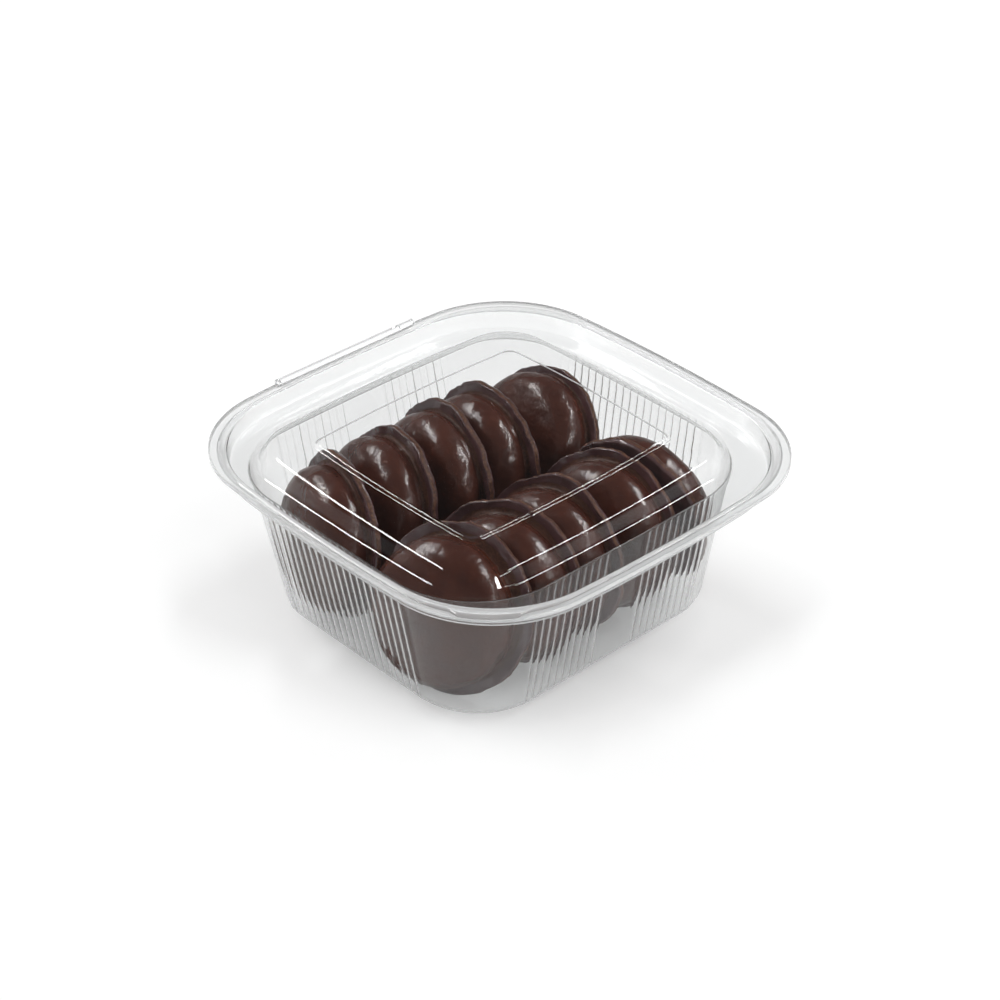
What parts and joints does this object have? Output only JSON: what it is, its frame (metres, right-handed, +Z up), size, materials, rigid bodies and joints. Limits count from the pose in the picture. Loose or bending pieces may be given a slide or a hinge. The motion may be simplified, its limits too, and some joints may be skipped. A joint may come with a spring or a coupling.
{
  "type": "clamshell food pack",
  "caption": "Clear hinged clamshell pack with fluted walls, low-domed lid and thumb tab, holding rows of chocolate-coated domed biscuits.",
  "frame": {"origin": "middle of the rim, on the plane that the tray stands on", "axes": "+Z up, +Y towards the hinge, -X and -Y sides meet at the corner with the thumb tab"},
  "size_m": [0.15, 0.1515, 0.0573],
  "materials": {
    "clear_sheet": "clear thermoformed sheet",
    "chocolate": "satin chocolate coating"
  },
  "bodies": {
    "tray_body": {"tray": "clear_sheet", "hinge_tube": "clear_sheet", "biscuit_back_1": "chocolate", "biscuit_back_2": "chocolate", "biscuit_back_3": "chocolate", "biscuit_back_4": "chocolate", "biscuit_back_5": "chocolate", "biscuit_front_1": "chocolate", "biscuit_front_2": "chocolate", "biscuit_front_3": "chocolate", "biscuit_front_4": "chocolate", "biscuit_front_5": "chocolate"},
    "lid_body": {"lid": "clear_sheet"}
  },
  "joints": [
    {"name": "lid_hinge", "type": "hinge", "parent": "tray_body", "child": "lid_body", "pos_m": [0, 0.0746, 0.05575], "axis": [-1, 0, 0], "range_deg": [0, 180]}
  ]
}
